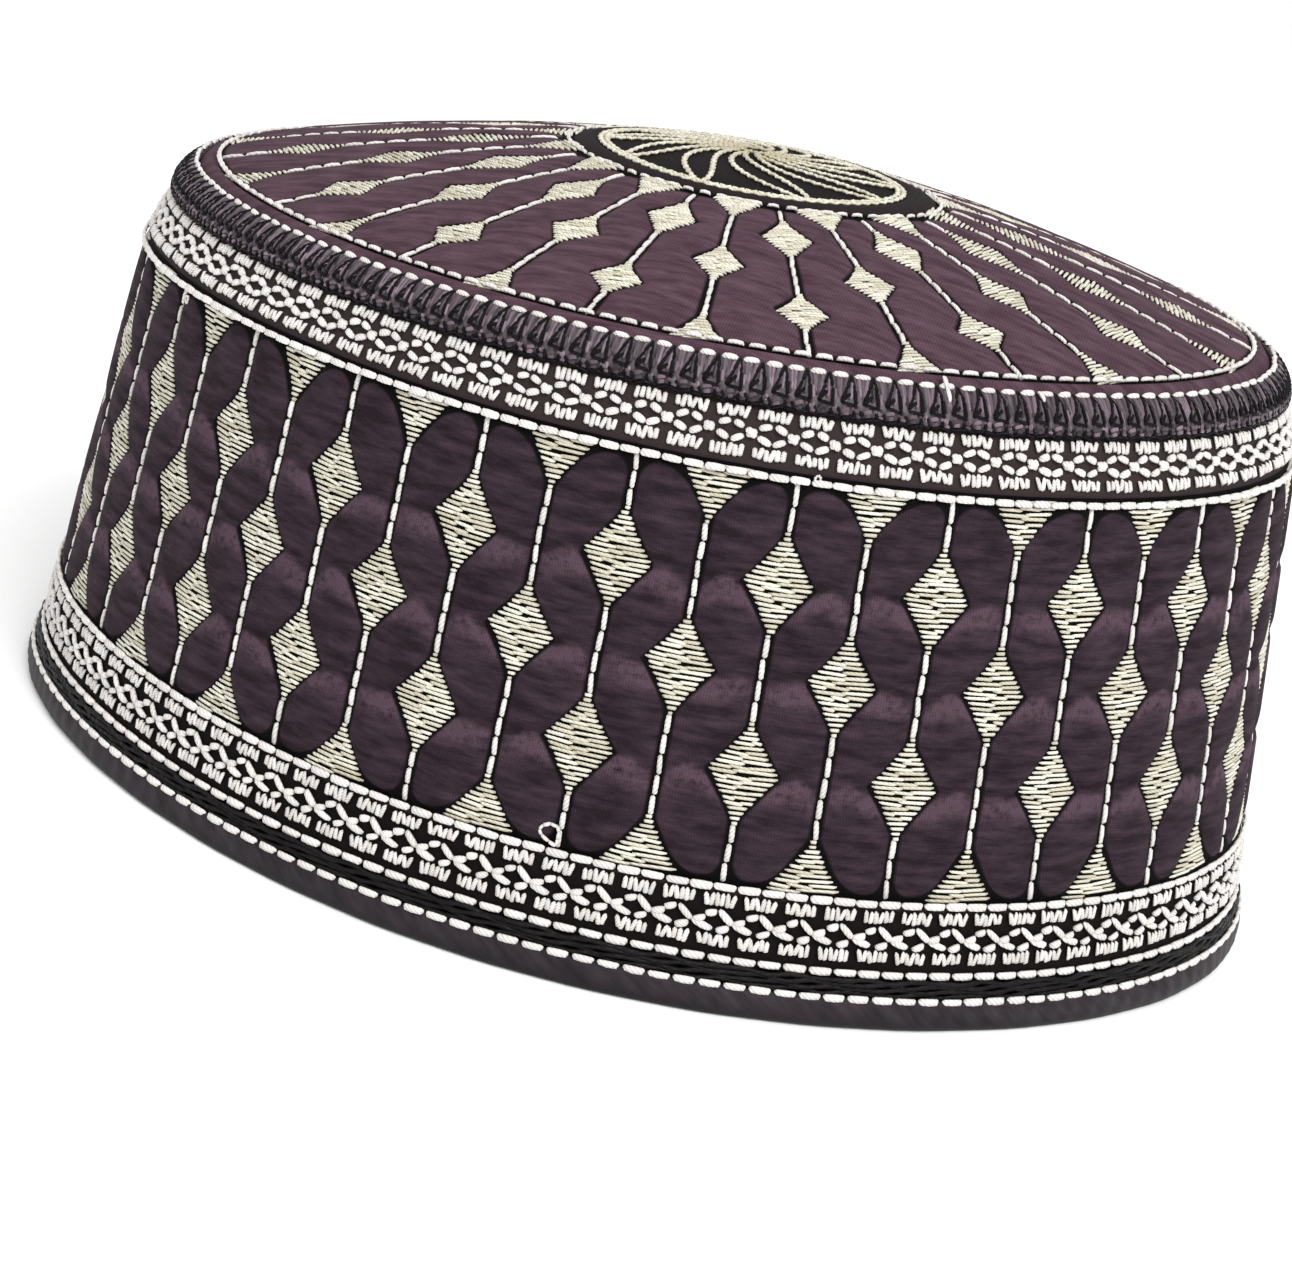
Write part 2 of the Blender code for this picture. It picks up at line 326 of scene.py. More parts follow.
steps_round = COLUMNS * COLUMN_STEPS
step_places = np.arange(steps_round) / COLUMN_STEPS
field_shares = np.linspace(-0.01, 1.01, 81)
heights = np.concatenate([
    np.array([1.4, 4.0, 7.0]) * MM,
    np.linspace(9.0 * MM, 17.2 * MM, 4),
    FIELD_BOTTOM + field_shares * FIELD,
    np.linspace(77.9 * MM, 84.4 * MM, 5),
])
places, levels = np.meshgrid(step_places, heights)
shares = (levels - FIELD_BOTTOM) / FIELD
puff, gap, painted_crease_light = rib_height(places, np.clip(shares, 0, 1), SIDE_DIAMONDS, side_drift, True)
ends = np.clip(np.minimum(shares, 1 - shares) * FIELD / (3.0 * MM), 0, 1)
puff = puff * (1 - (1 - ends) ** 2) ** 0.6
in_field = (shares > -0.012) & (shares < 1.012)
sink = np.where(in_field, GROOVE * (1 - puff), 0.35 * MM)
turns = turn_at(places, COLUMNS, COLUMN_START)
outer = wall(turns, levels, border_inset(levels) + sink)
ring_turns = turns[0]
tucked = [
    wall(ring_turns, 85.2 * MM, 3.5 * MM),
    wall(ring_turns, 87.2 * MM, 4.7 * MM),
    wall(ring_turns, 86.0 * MM, 6.6 * MM),
    wall(ring_turns, 83.5 * MM, 5.4 * MM),
]
inner_heights = np.array([76.5, 60, 40, 20, 8, 1.4]) * MM
inner = [wall(ring_turns, height, 2.2 * MM + border_inset(height)) for height in inner_heights]
rings = np.concatenate([outer, np.array(tucked), np.array(inner), outer[:1]])
quads, step_loops, ring_loops = grid_quads(len(rings), steps_round)
ring_count = len(rings) - 1
quads = quads % (ring_count * steps_round)
up_reach = np.concatenate([[0], np.cumsum(np.linalg.norm(np.diff(rings[:, 0], axis=0), axis=1))])
uvs = np.stack([step_loops * rim_reach[-1] / steps_round / MM, up_reach[ring_loops] / MM], -1)
spare = np.zeros((ring_count - len(outer), steps_round))
SIDE_SPACING = 11.6
end_gap = np.minimum(shares, 1 - shares) * FIELD / MM - 0.5
gap = 3.0 - np.hypot(np.maximum(3.0 - gap * SIDE_SPACING, 0), np.maximum(3.0 - end_gap, 0))
gap = np.where(in_field, np.clip(gap, -1, 4), 4)
border = np.where(in_field, 0, np.where(levels > 50 * MM, 0.5, 1.0))
side_band = make_piece(
    "side_band_cloth", rings[:-1], quads, side_cloth, uvs,
    {
        "gap": np.concatenate([gap, spare + 4]), "border": np.concatenate([border, spare]),
        "painted_crease_light": np.concatenate([painted_crease_light * in_field, spare]),
    },
)
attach(side_band, "root")
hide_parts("side_band")


# Side embroidery: cream two-ply thread worked through cloth and interlining.
# Diamonds are filled with slanting satin rows, and a running stitch joins them up each column.
thread_ply, given, result = new_group(
    "twisted thread", "ShaderNodeTree",
    [("Place", vector, None), ("Twist", number, 1.0)], [("Ply", number), ("Fluff", number)],
)
across, up, _ = add(thread_ply, "ShaderNodeSeparateXYZ", {0: given["Place"]}).outputs
lay = mul(thread_ply, mul(thread_ply, across, given["Twist"]), up, "ADD")
wave = mul(thread_ply, mul(thread_ply, lay, 12.566), operation="SINE")
thread_ply.links.new(wave, result["Ply"])
fluff = add(thread_ply, "ShaderNodeTexNoise", {"Vector": given["Place"], "Scale": 9.0, "Detail": 2.0})
thread_ply.links.new(fluff.outputs[0], result["Fluff"])


def thread(name, dark, light, rough, twist, sheen=0.1, lustre=0.4):
    """Embroidery thread: two twisted plies, each stitch a little lighter or darker than the next."""
    material, tree, shader, place = new_finish(name)
    ply = add(tree, "ShaderNodeGroup", {"Place": place}, node_tree=thread_ply)
    ply.inputs["Twist"].default_value = twist
    base = mix(tree, read_mask(tree, "tone"), (*dark, 1), (*light, 1))
    base = mix(tree, 1.0, base, ramp(tree, ply.outputs["Ply"], -1.0, 0.2, 0.75, 1.0), "MULTIPLY")
    tree.links.new(base, shader.inputs["Base Color"])
    relief_of(tree, shader, mul(tree, ply.outputs["Ply"], ply.outputs["Fluff"], "ADD"), 0.4, 0.00012)
    shader.inputs["Roughness"].default_value = rough
    shader.inputs["Sheen Weight"].default_value = sheen
    shader.inputs["Specular IOR Level"].default_value = lustre
    return material


def stitch_shape(name, sides, stations):
    """One stitch of unit length and thickness: stations are (place along, thickness, rise)."""
    spin = np.arange(sides) / sides * 2 * pi + pi / 2
    rings = [
        [(x, 0.5 * thick * np.cos(turn), 0.5 * thick * np.sin(turn) + rise) for turn in spin]
        for x, thick, rise in stations
    ]
    last = (len(stations) - 1) * sides
    faces = [
        (ring + sides + i, ring + sides + (i + 1) % sides, ring + (i + 1) % sides, ring + i)
        for ring in range(0, last, sides) for i in range(sides)
    ]
    faces += [tuple(range(sides)), tuple(range(last, last + sides))[::-1]]
    mesh = bpy.data.meshes.new(name)
    mesh.from_pydata([point for ring in rings for point in ring], [], faces)
    mesh.shade_smooth()
    layer = mesh.uv_layers.new(name="cloth")
    for loop in mesh.loops:
        x, y, z = mesh.vertices[loop.vertex_index].co
        layer.data[loop.index].uv = (x + 0.5, y + 0.5)
    return new_object(name, mesh)


satin_shape = stitch_shape(
    "satin_stitch", 5,
    [(-0.5, 0.4, -0.42), (-0.36, 0.92, 0.0), (0.36, 1.05, 0.06), (0.5, 0.55, -0.35)],
)
running_shape = stitch_shape(
    "running_stitch", 6,
    [(-0.5, 0.45, -0.45), (-0.4, 0.9, -0.05), (0, 1, 0.08), (0.4, 0.9, -0.05), (0.5, 0.45, -0.45)],
)
oval_shape = stitch_shape(
    "oval_stitch", 6,
    [(-0.5, 0.5, -0.4), (-0.34, 0.95, -0.02), (0, 1.1, 0.08), (0.34, 0.95, -0.02), (0.5, 0.5, -0.4)],
)

needlework, given, result = new_group(
    "needlework", "GeometryNodeTree",
    [
        ("Needle marks", "NodeSocketGeometry", None), ("Stitch", "NodeSocketObject", None),
        ("Thread", "NodeSocketMaterial", None), ("Thinnest", number, 0.9),
        ("Thickest", number, 1.1), ("Seed", "NodeSocketInt", 3),
    ],
    [("Stitches", "NodeSocketGeometry")],
)
named = {}
for label in ("along", "out", "size"):
    reader = add(needlework, "GeometryNodeInputNamedAttribute", {0: label}, data_type="FLOAT_VECTOR")
    named[label] = reader.outputs[0]
turned = add(needlework, "FunctionNodeAxesToRotation", {0: named["along"], 1: named["out"]},
             primary_axis="X", secondary_axis="Z").outputs[0]
uneven = add(needlework, "FunctionNodeRandomValue", {"Seed": given["Seed"]}, data_type="FLOAT")
needlework.links.new(given["Thinnest"], uneven.inputs[2])
needlework.links.new(given["Thickest"], uneven.inputs[3])
thick = uneven.outputs[1]
thick = add(needlework, "ShaderNodeCombineXYZ", {0: 1.0, 1: thick, 2: thick}).outputs[0]
size = add(needlework, "ShaderNodeVectorMath", {0: named["size"], 1: thick}, operation="MULTIPLY")
shape = add(needlework, "GeometryNodeObjectInfo", {"Object": given["Stitch"]}, transform_space="ORIGINAL")
laid_out = add(needlework, "GeometryNodeInstanceOnPoints", {
    "Points": given["Needle marks"], "Instance": shape.outputs["Geometry"],
    "Rotation": turned, "Scale": size.outputs[0],
})
real = add(needlework, "GeometryNodeRealizeInstances", {0: laid_out.outputs[0]})
coloured = add(needlework, "GeometryNodeSetMaterial",
               {"Geometry": real.outputs[0], "Material": given["Thread"]})
needlework.links.new(coloured.outputs[0], result["Stitches"])
inputs = [item for item in needlework.interface.items_tree if item.in_out == "INPUT"]
sockets = {item.name: item.identifier for item in inputs}


def laid(start, end, out, width, height, tone):
    """Rows of stitches, one line each: start, end, outward direction, width, height and tone."""
    rest = [np.broadcast_to(value, len(start)) for value in (width, height, tone)]
    return np.column_stack([start, end, out, *rest])


def sew(name, rows, material, shape, seed):
    """Sews the rows of stitches as one piece, riding on the cap."""
    rows = np.concatenate(rows)
    reach = rows[:, 3:6] - rows[:, 0:3]
    mesh = bpy.data.meshes.new(name)
    mesh.from_pydata(((rows[:, 0:3] + rows[:, 3:6]) / 2).tolist(), [], [])
    size = np.column_stack([np.linalg.norm(reach, axis=1), rows[:, 9], rows[:, 10]])
    for label, values in (("along", unit(reach)), ("out", rows[:, 6:9]), ("size", size)):
        layer = mesh.attributes.new(label, "FLOAT_VECTOR", "POINT")
        layer.data.foreach_set("vector", np.ascontiguousarray(values, np.float32).reshape(-1))
    layer = mesh.attributes.new("tone", "FLOAT", "POINT")
    layer.data.foreach_set("value", np.ascontiguousarray(rows[:, 11], np.float32))
    piece = new_object(name, mesh)
    modifier = piece.modifiers.new("needlework", "NODES")
    modifier.node_group = needlework
    modifier[sockets["Stitch"]] = shape
    modifier[sockets["Thread"]] = material
    modifier[sockets["Seed"]] = seed
    bpy.context.view_layer.update()
    ready = piece.evaluated_get(bpy.context.evaluated_depsgraph_get())
    sewn = bpy.data.meshes.new_from_object(ready)
    piece.modifiers.clear()
    piece.data = sewn
    sewn.name = name
    for label in ("along", "out", "size"):
        if label in sewn.attributes:
            sewn.attributes.remove(sewn.attributes[label])
    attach(piece, "root")
    return piece


def wall_stitches(rounds, chart, lift, width, height, tone):
    """Stitches of the side from a chart of (place, height in mm, place, height in mm)."""
    chart = np.asarray(chart, float)
    turns = [turn_at(chart[:, k], rounds, COLUMN_START) for k in (0, 2)]
    levels = [chart[:, k] * MM for k in (1, 3)]
    points = [wall(turn, level, border_inset(level) - lift) for turn, level in zip(turns, levels)]
    out = side_out(sum(turns) / 2, sum(levels) / 2)
    return laid(*points, out, width, height, tone)


def side_stitches(chart, lift, width, height, tone):
    """Stitches of the field from a chart of (place, share, place, share), down in its grooves."""
    chart = np.asarray(chart, float) * (1, FIELD / MM, 1, FIELD / MM)
    chart = chart + (0, FIELD_BOTTOM / MM, 0, FIELD_BOTTOM / MM)
    return wall_stitches(COLUMNS, chart, lift - GROOVE, width, height, tone)


def satin_chart(columns, diamonds, drift, length, spacing, pitch, slant, chance):
    """Satin rows of every diamond, each split into shorter stitches that meet like bricks."""
    chart = []
    for column in range(columns):
        for centre, half, low, high in diamonds[column % 2]:
            middle = centre + (drift(column) if 0.1 < centre < 0.9 else 0)
            bottom = max(middle - low, 0.0)
            top = min(middle + high, 1.0)
            count = max(3, int(round((top - bottom) * length / pitch)))
            for row in range(count):
                share = bottom + (top - bottom) * (row + 0.5) / count
                wide = spacing(share)
                tilt = slant * wide / length

                def half_at(level):
                    reach = high if level > middle else low
                    return half * max(0.0, 1 - abs(level - middle) / reach) ** 1.15

                own = half_at(share)
                fray = chance.uniform(-0.012, 0.022, 2) * 11 / wide
                left = max(half_at(share + tilt * own), 0.03) + fray[0]
                right = max(half_at(share - tilt * own), 0.03) + fray[1]
                ends = [(column - left, share + tilt * left), (column + right, share - tilt * right)]
                full = (left + right) * wide
                if full < 3.4:
                    cuts = []
                elif full < 7.6:
                    cuts = [0.38 if row % 2 else 0.60]
                else:
                    cuts = [0.30, 0.63] if row % 2 else [0.46]
                stops = [0] + [cut + chance.uniform(-0.1, 0.1) for cut in cuts] + [1]
                for a, b in zip(stops, stops[1:]):
                    a -= 0.3 / full * (a > 0)
                    b += 0.3 / full * (b < 1)
                    first = [ends[0][k] + (ends[1][k] - ends[0][k]) * a for k in (0, 1)]
                    final = [ends[0][k] + (ends[1][k] - ends[0][k]) * b for k in (0, 1)]
                    slips = [(a > 0) * chance.uniform(0.0, 0.30), (b < 1) * chance.uniform(0.0, 0.30)]
                    first[1] += (0.06 * full * (1 - a) ** 2 + slips[0]) / length
                    final[1] += (0.06 * full * (1 - b) ** 2 - slips[1]) / length
                    chart.append((*first, *final))
    return np.array(chart)


def running_chart(columns, diamonds, drift, length, stitch, ends, chance):
    """Running stitches up every column, between its diamonds."""
    chart = []
    for column in range(columns):
        spans = []
        level = ends[0]
        for centre, half, low, high in sorted(diamonds[column % 2]):
            middle = centre + (drift(column) if 0.1 < centre < 0.9 else 0)
            if middle - low > level:
                spans.append((level, middle - low + 0.004))
            level = max(level, middle + high - 0.004)
        if level < ends[1]:
            spans.append((level, ends[1]))
        for bottom, top in spans:
            count = max(1, int(round((top - bottom) * length / stitch)))
            marks = np.linspace(bottom, top, count + 1)
            sway = chance.uniform(-0.012, 0.012, count + 1)
            for k in range(count):
                first = (column + sway[k] + 0.006, marks[k] + 0.0012)
                chart.append((*first, column + sway[k + 1] - 0.006, marks[k + 1] - 0.0012))
    return np.array(chart)


chance = np.random.default_rng(5)
cream_satin = thread("cream_satin", (0.50, 0.455, 0.325), (0.90, 0.875, 0.75), 0.45, 2.5)
white_thread = thread("white_thread", (0.56, 0.52, 0.49), (0.87, 0.83, 0.80), 0.5, 2.0)

chart = satin_chart(COLUMNS, SIDE_DIAMONDS, side_drift, FIELD / MM, lambda share: SIDE_SPACING,
                    0.72, -0.10, chance)
tones = chance.uniform(0.2, 1.0, len(chart))
sew("side_diamonds", [side_stitches(chart, 0.25 * MM, 0.51 * MM, 0.50 * MM, tones)],
    cream_satin, satin_shape, 4)

chart = running_chart(COLUMNS, SIDE_DIAMONDS, side_drift, FIELD / MM, 2.9, (0.004, 0.996), chance)
tones = chance.uniform(0.4, 1.0, len(chart))
sew("side_running", [side_stitches(chart, 0.22 * MM, 0.86 * MM, 0.60 * MM, tones)],
    white_thread, running_shape, 6)


# Loose thread: a loop left standing by a running stitch, and three tiny ones along the upper line.
# They lie on the face of the side band.
# Points of a loop as shares of its width and height, from its foot round to its foot again.
slack_loop = np.array([
    (0.0, 0.0), (-0.42, 0.14), (-0.85, 0.36), (-1.0, 0.60), (-0.86, 0.84),
    (-0.50, 1.0), (-0.12, 0.93), (0.02, 0.70), (0.0, 0.35),
])
rows = []
for place, height, wide, tall, thick in (
    (36.99, 19.3, 0.235, 3.0, 0.55), (38.97, 76.2, 0.06, 0.8, 0.4),
    (39.26, 76.3, 0.07, 1.3, 0.4), (29.26, 74.4, 0.07, 1.1, 0.4),
):
    path = slack_loop * (wide, tall * MM / FIELD) + (place, (height * MM - FIELD_BOTTOM) / FIELD)
    chart = np.column_stack([path, np.roll(path, -1, 0)])
    rows.append(side_stitches(chart, 1.0 * MM, thick * MM, thick * MM, 0.8))
sew("loose_loops", rows, white_thread, running_shape, 7)


# Borders: cream thread on a drab ground, above and below the diamonds.
# Zigzag blocks stand in two rows either side of a chain of small lozenges, between heavy stitched lines.
def line_chart(rounds, height, fill, sag, chance):
    """One stitched line: stitches end to end, each a little off level."""
    places = np.arange(rounds) + chance.uniform(-0.03, 0.03, rounds)
    off = chance.uniform(-sag, sag, (2, rounds))
    return np.column_stack([places - fill / 2, height + off[0], places + fill / 2, height + off[1]])


def block_chart(rounds, height, tall, fill, strokes, chance):
    """A row of blocks, each one a tight upright zigzag."""
    chart = []
    for block in range(rounds):
        marks = np.linspace(-0.5, 0.5, strokes) * (fill - 0.11) + chance.uniform(-0.008, 0.008, strokes)
        lean = np.where(np.arange(strokes) % 2, 0.032, -0.022) + chance.uniform(-0.03, 0.03, strokes)
        top = height + tall / 2 + chance.uniform(-0.2, 0.15, strokes)
        foot = height - tall / 2 + chance.uniform(-0.15, 0.2, strokes)
        chart.extend(zip(block + marks + lean, top, block + marks - lean, foot))
    return np.array(chart)


def chain_chart(rounds, height, links, chance):
    """A chain of lozenges, each drawn with the same few oval stitches."""
    chart = []
    for link in range(rounds):
        for x0, y0, x1, y1 in links:
            slip = chance.uniform(-0.02, 0.02, 4) * np.array([1, 4, 1, 4])
            chart.append(slip + (link + x0, height + y0, link + x1, height + y1))
    return np.array(chart)


UPPER_ROUNDS = 90
LOWER_ROUNDS = 99
upper_links = [
    (-0.31, 0.60, -0.03, 1.15), (0.05, 1.18, 0.33, 0.52),
    (-0.31, -0.45, 0.00, -1.15), (0.06, -1.22, 0.35, -0.55),
]
upper_knots = [(0.37, 0.48, 0.62, -0.48), (0.39, -0.42, 0.63, 0.42)]
lower_links = [
    (-0.28, 0.80, 0.0, 1.30), (0.06, 1.50, 0.42, -0.35),
    (-0.58, -0.35, -0.08, -1.30), (0.04, -1.50, 0.34, -0.85),
]
lower_knots = [(0.42, -0.25, 0.72, 0.35)]

# Zigzag blocks: repeats round the cap, height, block height, share of the repeat filled, darkest tone.
rows = []
for rounds, height, tall, fill, darkest in (
    (UPPER_ROUNDS, 84.1, 1.55, 0.78, 0.4), (UPPER_ROUNDS, 79.2, 1.55, 0.78, 0.4),
    (LOWER_ROUNDS, 16.5, 1.8, 0.76, 0.3), (LOWER_ROUNDS, 10.6, 1.8, 0.76, 0.3),
):
    chart = block_chart(rounds, height, tall, fill, 6, chance)
    tones = chance.uniform(darkest, 1.0, len(chart))
    rows.append(wall_stitches(rounds, chart, 0.12 * MM, 0.74 * MM, 0.5 * MM, tones))
sew("border_blocks", rows, white_thread, satin_shape, 8)

# Chains: repeats, height of the middle, stitches, lift and thread width.
rows = []
for rounds, height, links, lift, width in (
    (UPPER_ROUNDS, 81.7, upper_links, 0.2, 1.02), (UPPER_ROUNDS, 81.7, upper_knots, 0.3, 1.06),
    (LOWER_ROUNDS, 13.5, lower_links, 0.2, 1.02), (LOWER_ROUNDS, 13.5, lower_knots, 0.3, 1.06),
):
    chart = chain_chart(rounds, height, links, chance)
    tones = chance.uniform(0.5, 1, len(chart))
    rows.append(wall_stitches(rounds, chart, lift * MM, width * MM, 0.7 * MM, tones))
sew("border_chains", rows, white_thread, oval_shape, 9)

# Stitched lines: stitches round the cap, height, share filled, sag, lift, width, thickness, darkest tone.
rows = []
for rounds, height, fill, sag, lift, width, thick, darkest in (
    (181, 76.6, 0.95, 0.07, 0.15, 1.18, 0.62, 0.5), (166, 18.4, 0.94, 0.07, 0.15, 1.25, 0.62, 0.5),
    (157, 8.1, 0.90, 0.05, 0.25, 1.25, 0.75, 0.6), (161, 4.7, 0.86, 0.05, 1.15, 1.15, 0.70, 0.6),
):
    chart = line_chart(rounds, height, fill, sag, chance)
    tones = chance.uniform(darkest, 1, rounds)
    rows.append(wall_stitches(rounds, chart, lift * MM, width * MM, thick * MM, tones))
sew("border_lines", rows, white_thread, running_shape, 10)


# Crown: an oval panel of the same quilted cotton, its colours paler than the side band's as painted light
# on the dome, which faces up.
# Its ribs run out from the medallion, and its edge is caught under the seam roll.
CROWN_LINE_HEIGHT = 91.9 * MM
CROWN_LINE_INSET = 8.5 * MM
DOME_RISE = 15.0 * MM
SPOKES = 30
SPOKE_START = -0.89
SPOKE_STEPS = 28
CROWN_GROOVE = 0.8 * MM
CROWN_LENGTH = 47.0
CROWN_SPACING = 15.8
CROWN_DIAMONDS = (
    ((0.02, 0.60, 0.10, 0.145), (0.52, 0.345, 0.122, 0.120), (1.0, 0.235, 0.155, 0.155)),
    ((0.27, 0.44, 0.145, 0.145), (0.755, 0.29, 0.113, 0.105)),
)


def inner_share(turn):
    """Share of the dome where its ribs end: the medallion was set a little off centre."""
    return 0.343 + 0.036 * np.cos(turn + 1.1)


def whirl_edge(turn):
    """Share of the whirl's outer ring, which bulges towards one side."""
    return 0.300 + 0.026 * np.cos(turn + 1.3) + 0.01 * np.cos(2 * (turn + 1.3))


def dome(turn, share, sink):
    """Points of the dome at a share of its inner stitch line, sunk by a depth."""
    half_length = RIM_LENGTH / 2 - LEAN_LENGTH * CROWN_LINE_HEIGHT - CROWN_LINE_INSET
    half_width = RIM_WIDTH / 2 - LEAN_WIDTH * CROWN_LINE_HEIGHT - CROWN_LINE_INSET
    base = CROWN_LINE_HEIGHT * (1 + 0.02 * share * np.cos(turn))
    height = base + DOME_RISE * (1 - share ** 1.65) - sink
    points = oval(half_length * share, half_width * share, turn, height)
    points[..., 0] += 1.8 * MM * (1 - share)
    return points


def dome_out(turn, share):
    """Outward direction of the dome."""
    d = 1e-3
    along = dome(turn + d, share, 0) - dome(turn - d, share, 0)
    return unit(np.cross(along, dome(turn, share - d, 0) - dome(turn, share + d, 0)))


def crown_drift(place):
    return 0.004 * np.sin(2 * pi * place / 15)


# Painted light: the dark and light cloth colours are paler than the side band's, for the light falling on
# the upward-facing crown.
crown_cloth = quilted_cloth(
    "crown_cloth", (0.050, 0.025, 0.036), (0.160, 0.093, 0.120),
    (0.020, 0.013, 0.015), (0.016, 0.010, 0.011), (0.0015, 0.001, 0.001), 0.8,
)
crown_steps = SPOKES * SPOKE_STEPS
crown_places = np.arange(crown_steps) / SPOKE_STEPS
crown_places, crown_levels = np.meshgrid(crown_places, np.linspace(1.0, 0.03, 58))
crown_turns = turn_at(crown_places, SPOKES, SPOKE_START)
crown_shares = inner_share(crown_turns) + (1 - inner_share(crown_turns)) * crown_levels
puff, gap, painted_crease_light = rib_height(crown_places, crown_levels, CROWN_DIAMONDS, crown_drift, False)
ends = np.clip(np.minimum(1.0 - crown_levels, crown_levels - 0.045) * CROWN_LENGTH / 2.6, 0, 1)
puff = puff * (1 - (1 - ends) ** 2) ** 0.6
crown_top = dome(crown_turns, crown_shares, CROWN_GROOVE * (1 - puff) * crown_shares ** 0.5)
ring_turns = crown_turns[0]
# Share, depth in mm, and gap to the stitching in mm, which sets the painted groove shade, from the ribs
# in to the middle.
rib_edge = inner_share(ring_turns)
whirl = whirl_edge(ring_turns)
hub_levels = [
    (rib_edge + 0.010, 0.70, 0.0), (rib_edge + 0.004, 0.30, 0.3), (rib_edge - 0.004, 0.00, 2.0),
    ((rib_edge + whirl) / 2, -0.15, 4.0), (whirl + 0.012, 0.00, 2.0), (whirl + 0.006, 0.30, 0.3),
    (whirl - 0.004, 0.55, 0.0), (whirl * 0.9, 0.5, 0.5), (whirl * 0.65, 0.5, 0.6),
    (whirl * 0.4, 0.5, 0.6), (0.05, 0.5, 0.5), (0.02, 0.5, 0.5),
]
hub = [dome(ring_turns, share, sink * MM) for share, sink, gap_there in hub_levels]
edge = [dome(ring_turns, share, sink * MM) for share, sink in ((0.3, 2.4), (0.6, 2.4), (0.93, 2.0))]
caught = ((87.8, 6.4), (88.2, 5.4), (89.8, 5.9), (91.0, 6.8), (91.4, 7.5))
edge += [wall(ring_turns, height * MM, inset * MM) for height, inset in caught]
rings = np.concatenate([np.array(edge), crown_top, np.array(hub)])
quads, step_loops, ring_loops = grid_quads(len(rings), crown_steps)
middles = [dome(0.0, 0.0, depth * MM)[None] for depth in (2.4, 0.5)]
points = np.concatenate([rings.reshape(-1, 3), *middles])
low_middle = len(points) - 2
last = (len(rings) - 1) * crown_steps
steps = np.arange(crown_steps)
after = (steps + 1) % crown_steps
below = np.stack([np.full(crown_steps, low_middle), after, steps], -1)
above = np.stack([np.full(crown_steps, low_middle + 1), last + steps, last + after], -1)
faces = quads.tolist() + below.tolist() + above.tolist()
loops = np.concatenate([quads.reshape(-1), below.reshape(-1), above.reshape(-1)])
spare = np.zeros((len(edge), crown_steps))
flat = np.repeat(np.array([[row[2]] for row in hub_levels]), crown_steps, 1)
gap = np.minimum(gap * CROWN_SPACING * crown_shares, (1.0 - crown_levels) * CROWN_LENGTH - 0.3)
gap = np.where(crown_levels > 0.045, np.clip(gap, -1, 4), 0)
plain = np.concatenate([spare, crown_levels < 0.04, flat * 0 + 1]).reshape(-1)
crown = make_piece(
    "crown_cloth", points, faces, crown_cloth, points[loops][:, :2] / MM,
    {
        "gap": np.append(np.concatenate([spare + 4, gap, flat]).reshape(-1), [4, 0.5]),
        "border": np.append(plain, [0, 1]),
    },
)
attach(crown, "root")
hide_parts("crown_panel")


# Crown embroidery: the same diamonds and running stitches, set along lines that fan out over the dome.
# A stitched line runs round the edge of the dome and another along the top of the seam roll.
def dome_stitches(chart, lift, width, height, tone):
    """Stitches of the crown from a chart of (spoke place, level, spoke place, level)."""
    chart = np.asarray(chart, float)
    turns = [turn_at(chart[:, k], SPOKES, SPOKE_START) for k in (0, 2)]
    shares = [inner_share(turn) + (1 - inner_share(turn)) * chart[:, k] for turn, k in zip(turns, (1, 3))]
    points = [dome(turn, share, CROWN_GROOVE * share ** 0.5 - lift) for turn, share in zip(turns, shares)]
    return laid(*points, dome_out(sum(turns) / 2, sum(shares) / 2), width, height, tone)


def ring_stitches(rounds, level, fill, lift, width, height, chance):
    """A line of stitches round the dome."""
    places = np.arange(rounds) + chance.uniform(-0.04, 0.04, rounds)
    turns = [turn_at(places + side * fill / 2, rounds, 0) for side in (-1, 1)]
    shares = [inner_share(turn) + (1 - inner_share(turn)) * level for turn in turns]
    points = [dome(turn, share, 0.3 * MM - lift) for turn, share in zip(turns, shares)]
    out = dome_out(sum(turns) / 2, shares[0])
    return laid(*points, out, width, height, chance.uniform(0.4, 1, rounds))


def crown_spacing(level):
    return CROWN_SPACING * (0.37 + 0.63 * level)


chart = satin_chart(SPOKES, CROWN_DIAMONDS, crown_drift, CROWN_LENGTH, crown_spacing, 0.70, 0.08, chance)
tones = chance.uniform(0.2, 0.9, len(chart))
sew("crown_diamonds", [dome_stitches(chart, 0.25 * MM, 0.54 * MM, 0.5 * MM, tones)],
    cream_satin, satin_shape, 12)
chart = running_chart(SPOKES, CROWN_DIAMONDS, crown_drift, CROWN_LENGTH, 2.8, (0.05, 0.995), chance)
rows = [
    dome_stitches(chart, 0.25 * MM, 0.75 * MM, 0.6 * MM, chance.uniform(0.4, 1, len(chart))),
    ring_stitches(156, 1.0, 0.78, 0.25 * MM, 0.85 * MM, 0.65 * MM, chance),
    ring_stitches(70, 0.022, 0.66, 0.3 * MM, 0.70 * MM, 0.6 * MM, chance),
]
sew("crown_running", rows, white_thread, running_shape, 13)


# Medallion: a smooth dark ring round a whirl of curved blades, each blade two lines of zigzag stitch.
old_ivory = thread("old_ivory", (0.47, 0.41, 0.25), (0.90, 0.87, 0.72), 0.5, 2.0)


